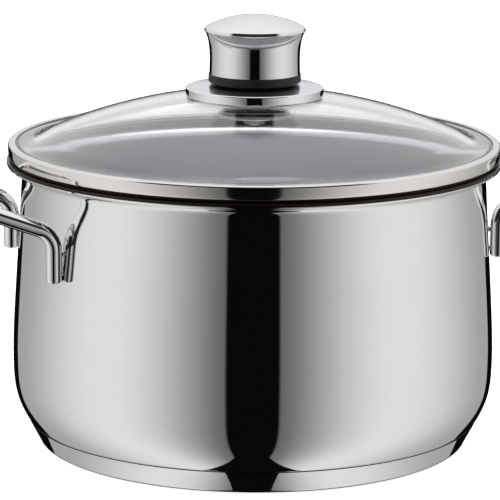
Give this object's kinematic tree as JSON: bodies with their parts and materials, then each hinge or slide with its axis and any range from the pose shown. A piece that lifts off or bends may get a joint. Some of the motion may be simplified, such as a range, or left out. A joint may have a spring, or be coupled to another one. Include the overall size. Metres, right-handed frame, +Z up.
{
  "type": "covered canning pot",
  "caption": "Bellied steel pot for water bath canning with a capsule base, bar handles, a domed glass lid with a turned knob, and a flat wire jar rack that lifts out.",
  "frame": {"origin": "centre of the base on the table", "axes": "+Z up along the pot's axis; the two handles lie along X, so -Y and +Y are its plain sides"},
  "size_m": [0.3414, 0.2534, 0.2208],
  "materials": {
    "pot_steel": "mirror-polished stainless steel",
    "base_steel": "polished stainless steel",
    "core_aluminium": "raw disc",
    "handle_steel": "polished stainless steel bar",
    "lid_glass": "clear tempered glass",
    "band_steel": "polished stainless steel band",
    "seal_silicone": "grey silicone",
    "knob_steel": "polished stainless steel with a fine satin turn",
    "knob_plastic": "black heat-resistant moulding",
    "insert_brass": "turned",
    "gasket_rubber": "black silicone",
    "cup_steel": "pressed stainless steel",
    "screw_steel": "stainless fastener",
    "rack_steel": "bright drawn wire"
  },
  "bodies": {
    "pot": {"pot_body": "pot_steel", "base_core": "core_aluminium", "base_cap": "base_steel", "left_handle": "handle_steel", "right_handle": "handle_steel", "left_handle_studs": "handle_steel", "right_handle_studs": "handle_steel"},
    "lid": {"lid_glass": "lid_glass", "lid_rim_band": "band_steel", "lid_rim_seal": "seal_silicone", "knob_cap": "knob_steel", "knob_shell": "knob_steel", "knob_insulator": "knob_plastic", "knob_insert": "insert_brass", "rosette": "knob_steel", "upper_gasket": "gasket_rubber", "lower_gasket": "gasket_rubber", "retaining_cup": "cup_steel", "spring_washer": "screw_steel", "knob_screw": "screw_steel"},
    "jar_rack": {"rack_outer_ring": "rack_steel", "rack_inner_ring": "rack_steel", "rack_cross_wires": "rack_steel", "rack_feet": "rack_steel"}
  },
  "joints": [
    {"name": "lid_lift", "type": "slide", "parent": "pot", "child": "lid", "axis": [0, 0, 1], "range_m": [0, 0.25]},
    {"name": "rack_lift", "type": "slide", "parent": "pot", "child": "jar_rack", "axis": [0, 0, 1], "range_m": [0, 0.12]}
  ]
}
